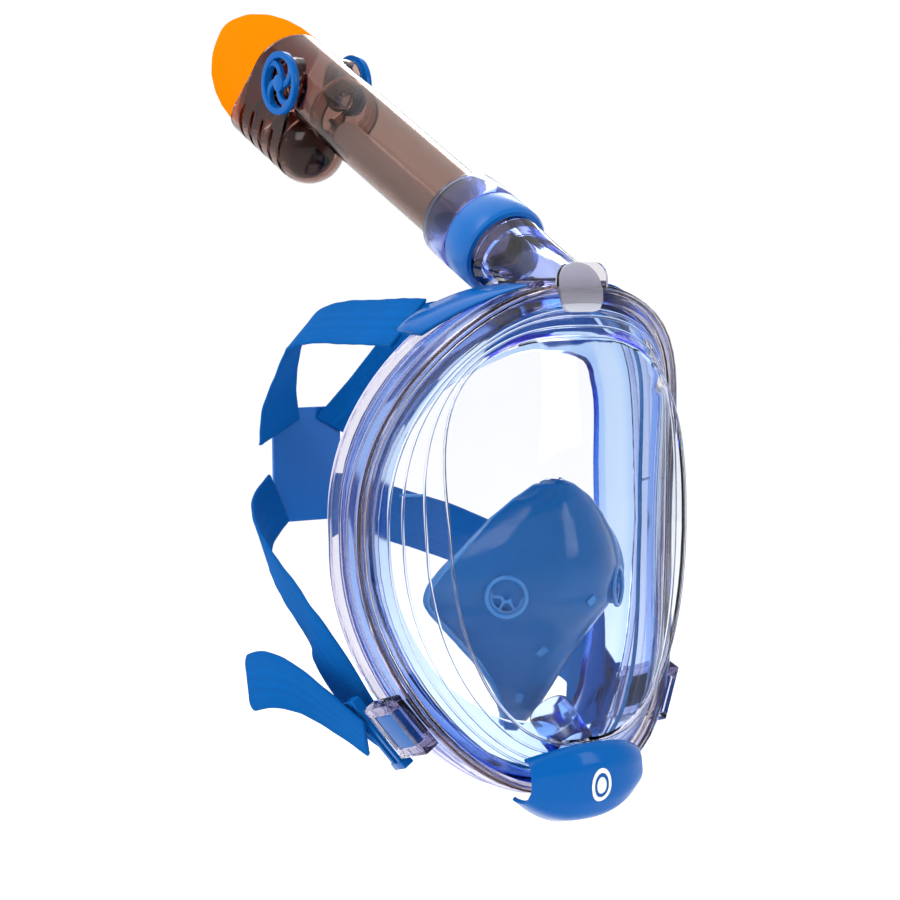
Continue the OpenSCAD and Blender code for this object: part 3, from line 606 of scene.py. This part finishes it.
# %% Finger tab at the top of the lens ring
deselect()
TAB_R = 13.5 * MM
bpy.ops.mesh.primitive_cylinder_add(vertices=72, radius=TAB_R, depth=2.4 * MM)
tab = bpy.context.object
tab.name = "lens_ring_tab"
for v in tab.data.vertices:
    if v.co.y < 0:
        v.co.x = TAB_R * power(v.co.x / TAB_R, 0.3)
    v.co.y *= 0.92
apply_modifier(tab, "BEVEL", width=0.0008, segments=3, limit_method="ANGLE", angle_limit=math.radians(50))
settle(tab, Vector((0, -42.6, 113.5)), Vector((0, -0.967, 0.253)))
tab.data.materials.append(frosted_tab)
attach(tab, "mask")
print("tab done")

# %% [markdown]
# Two small raised bars on the skirt's inside show where the eyes should be. Each is a bevelled block.

# %% Eye-level marks on the skirt
for side, sign in SIDES:
    deselect()
    bpy.ops.mesh.primitive_cube_add(size=1)
    mark = bpy.context.object
    mark.name = f"eye_mark_{side}"
    mark.data.transform(Matrix.Diagonal((12 * MM, 1.2 * MM, 1.2 * MM, 1)))
    bpy.ops.object.mode_set(mode="EDIT")
    bpy.ops.mesh.select_all(action="SELECT")
    bpy.ops.mesh.bevel(offset=0.4 * MM, segments=3)
    bpy.ops.object.mode_set(mode="OBJECT")
    place = Matrix.Translation(Vector((sign * 73, -6, 14)) * MM)
    mark.data.transform(place @ Matrix.Rotation(sign * 0.6, 4, "Z"))
    mark.data.materials.append(lip_silicone)
    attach(mark, "mask")
print("eye marks done")

# %% [markdown]
# Breath leaves the cup through a short spout that points at the chin's outlet valve. It is an open
# cylinder that gets its wall from a Solidify modifier.

# %% Spout from the cup to the chin outlet
chin_way = Vector((0, -math.sin(math.radians(52)), -math.cos(math.radians(52))))
deselect()
bpy.ops.mesh.primitive_cylinder_add(vertices=64, radius=11 * MM, depth=24 * MM, end_fill_type="NOTHING")
spout = bpy.context.object
spout.name = "cup_spout"
settle(spout, Vector((0, -44, -116.8)) - 20 * chin_way, chin_way)
bpy.ops.object.shade_smooth()
spout.data.materials.append(skirt_silicone)
apply_modifier(spout, "SOLIDIFY", thickness=0.0019, offset=-1)
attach(spout, "mask")
print("spout done")

# %% [markdown]
# ## The chin cover
# A glossy plate wraps round the chin and hides the outlet valve. It is laid as a curved sheet, given
# its wall, and its edges are rounded. Plain rings stand in for its printed mark.

# %% Chin cover
COVER_HALF_W, COVER_DROP = 35, 44
# Down the cover's middle, from its top edge to its lower edge: how far forward and how high it is
COVER_Y = [(0, -53.5), (0.12, -58), (0.3, -61), (0.55, -60.5), (0.8, -53), (1, -37)]
COVER_Z = [(0, -107), (0.12, -109), (0.3, -118), (0.55, -134), (0.8, -146), (1, -150)]


def smooth_lookup(v, table):
    step = 0.07
    return sum(lookup(min(1, max(0, v + k * step / 2)), table) for k in (-2, -1, 0, 1, 2)) / 5


def cover_point(u, v):
    k = 2 * u - 1
    swept = abs(k) ** 2.4
    y = smooth_lookup(v, COVER_Y) + 13 * swept * (1 - 0.45 * v)
    z = smooth_lookup(v, COVER_Z) + between(-7, 14, v) * swept
    return Vector((COVER_HALF_W * k * (1 - 0.06 * abs(k) * abs(2 * v - 1) ** 3), y, z))


cover = lay_grid("chin_cover_plate", 64, 44, cover_point, blue_gloss)
apply_modifier(cover, "SOLIDIFY", thickness=0.0022, offset=-1)
apply_modifier(cover, "BEVEL", width=0.0006, segments=3, limit_method="ANGLE", angle_limit=math.radians(50))
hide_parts("chin_cover")


def chin_ring(name, radius, thick, u=0.5, v=0.46):
    """A flat printed ring on the cover's face, round the place (u, v)."""
    across = (cover_point(u + 0.01, v) - cover_point(u - 0.01, v)).normalized()
    up = (cover_point(u, v + 0.01) - cover_point(u, v - 0.01)).normalized()
    out = across.cross(up).normalized()
    out = out if out.y < 0 else -out

    def place(a, b):
        r = radius + thick * math.cos(2 * math.pi * a)
        turn = 2 * math.pi * b
        p = cover_point(u + r * math.cos(turn) / (2 * COVER_HALF_W), v + r * math.sin(turn) / COVER_DROP)
        return p + out * (0.35 + 0.25 * math.sin(2 * math.pi * a))
    return lay_grid(name, 8, 72, place, white_print)


chin_ring("chin_mark_ring", 5.2, 0.9)
chin_ring("chin_mark_dot", 1.5, 1.45)
print("chin cover done")

# %% [markdown]
# ## The harness
# Four elastic straps hold the mask on. The upper pair comes over the crown and down to a patch at the
# back of the head, and the lower pair passes under the ears to the buckles. Each strap is a flat band
# with thicker hemmed edges that keeps its 30 mm width and lies flat on the head all along its way.

# %% Strap line
STRAP_W, STRAP_T, TIP_R = 30.0, 1.9, 7
HEAD_MID, HEAD_SIZE = Vector((0, 99, 16)), Vector((76, 107, 103))
BACK = Vector((0, 1, 0))
LUG_T, LUG_SEAT, LUG_LEAN, LUG_MID = math.radians(131.5), 2.9, math.radians(17), 18.0


def head_out(p):
    return Vector([(p[i] - HEAD_MID[i]) / HEAD_SIZE[i] ** 2 for i in range(3)]).normalized()


def lug_point(x, y, z):
    e = 2 - 2 / SQUARE
    n = Vector((power(math.sin(LUG_T), e) / HALF_W, power(math.cos(LUG_T), e) / HALF_H)).normalized()
    roll = -math.atan2(n.y, n.x)
    dy = y - LUG_MID
    y1 = dy * math.cos(LUG_LEAN) + z * math.sin(LUG_LEAN)
    z1 = z * math.cos(LUG_LEAN) - dy * math.sin(LUG_LEAN)
    return round_frame(LUG_T, LUG_SEAT, LUG_MID) + Vector(
        (x * math.cos(roll) + z1 * math.sin(roll), y1, z1 * math.cos(roll) - x * math.sin(roll)))


lug_out = (lug_point(1, 0, 0) - lug_point(0, 0, 0)).normalized()


def route_at(points, f):
    i = min(int(f), len(points) - 2)
    near = [points[max(0, min(len(points) - 1, i + k))] for k in (-1, 0, 1, 2)]
    return curve_between(*near, f - i)


def strap(name, points, facing, sign, round_end=False, steps=150):
    last = len(points) - 1
    pace = [route_at(points, last * i / 200) for i in range(201)]
    length = sum((b - a).length for a, b in zip(pace, pace[1:]))

    def place(u, v):
        f = min(last - 0.02, max(0.02, last * v))
        p = route_at(points, f)
        ahead = (route_at(points, f + 0.02) - route_at(points, f - 0.02)).normalized()
        wide = ahead.cross(facing(p, v)).normalized()
        up = wide.cross(ahead)
        left_over = (1 - v) * length
        half = STRAP_W / 2
        if round_end and left_over < TIP_R:
            half -= TIP_R - math.sqrt(max(0, TIP_R ** 2 - (TIP_R - left_over) ** 2))
        a = 2 * math.pi * u
        side, top = power(math.cos(a), 0.35), power(math.sin(a), 0.7)
        hem = 1 + 0.42 * max(0, min(1, (abs(side) - 0.8) / 0.06))
        ripple = 0.12 * math.sin(v * length * 0.35) * side
        q = p + half * side * wide + (STRAP_T / 2 * hem * top + ripple) * up
        return Vector((q.x * sign, q.y, q.z))
    piece = lay_grid(name, 40, steps, place, webbing, closed=True)
    layer = piece.data.uv_layers.active.data
    for corner in layer:
        corner.uv = (corner.uv[0] * 0.064, corner.uv[1] * length * MM)
    print(name, "is", round(length), "mm long")
    return piece


# %% [markdown]
# Each route is a list of places that the strap passes. The facing functions say which way its outer side
# looks, so the band turns from the head's curve to the flat of the buckle or the patch.

# %% Straps
REAR_BAR_Y = 49.6
BAR_LOW, BAR_T = 2.0, 5.0
UPPER = [Vector(p) for p in ((60, 14.8, 96), (56, 40, 96), (49, 75, 95), (43, 112, 94), (39, 143, 89),
                             (37, 160, 75), (30, 183, 52), (19, 201.2, 31))]
under = BAR_LOW - 1.3
LOWER = [Vector(p) for p in ((20, 201.2, -6), (42, 182, -16), (60, 152, -26),
                             (73, 116, -38), (80, 82, -52), (83, 58, -68))]
LOWER += [lug_point(under - 1, REAR_BAR_Y + 8, 2), lug_point(under - 0.3, REAR_BAR_Y, 0)]
TAIL = [lug_point(BAR_LOW + BAR_T + 3, REAR_BAR_Y, 0)]
TAIL += [Vector(p) for p in ((84.6, 50, -98), (89.5, 74, -89), (91, 98, -87.5), (88.5, 122, -93))]


def mixed(a, b, f):
    return a.lerp(b, max(0, min(1, f))).normalized()


def crown_facing(p, v):
    return mixed(head_out(p), BACK, 4 * v - 3)


def nape_facing(p, v):
    return mixed(BACK, head_out(p), 4 * v) if v < 0.25 else mixed(head_out(p), lug_out, 3 * v - 2)


def tail_facing(p, v):
    return mixed(lug_out, Vector((1, 0.15, 0)), v)


for side, sign in SIDES:
    piece = strap(f"crown_strap_{side}", UPPER, crown_facing, sign)
    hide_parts(f"upper_strap_{side}")
    piece = strap(f"nape_strap_{side}", LOWER, nape_facing, sign)
    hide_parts(f"lower_strap_{side}")
    piece = strap(f"strap_end_{side}", TAIL, tail_facing, sign, round_end=True, steps=90)
    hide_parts(f"strap_tail_{side}")

# %% [markdown]
# A moulded pad joins the four straps. It is a thin block with its upright edges rounded by a wide bevel
# and a raised field inset in its outer face.

# %% Back patch
deselect()
bpy.ops.mesh.primitive_cube_add(size=1)
patch = bpy.context.object
patch.name = "harness_patch"
place = Matrix.Translation(Vector((0, 203.3, 12)) * MM)
patch.data.transform(place @ Matrix.Diagonal((44 * MM, 2.4 * MM, 64 * MM, 1)))
bpy.ops.object.mode_set(mode="EDIT")
bpy.ops.mesh.select_all(action="DESELECT")
bpy.ops.mesh.select_mode(type="EDGE")
bpy.ops.object.mode_set(mode="OBJECT")
for e in patch.data.edges:
    a, b = (patch.data.vertices[k].co for k in e.vertices)
    e.select = abs(a.y - b.y) > 0.001
bpy.ops.object.mode_set(mode="EDIT")
bpy.ops.mesh.bevel(offset=9 * MM, segments=10)
bpy.ops.mesh.select_mode(type="FACE")
bpy.ops.object.mode_set(mode="OBJECT")
for f in patch.data.polygons:
    f.select = f.normal.y > 0.9
bpy.ops.object.mode_set(mode="EDIT")
bpy.ops.mesh.inset(thickness=4 * MM)
bpy.ops.mesh.inset(thickness=1 * MM)
bpy.ops.transform.translate(value=(0, 0.7 * MM, 0))
bpy.ops.object.mode_set(mode="OBJECT")
patch.data.materials.append(blue_silicone)
apply_modifier(patch, "BEVEL", width=0.0004, segments=2, limit_method="ANGLE", angle_limit=math.radians(40))
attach(patch, "mask")
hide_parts("back_patch")
print("patch done")
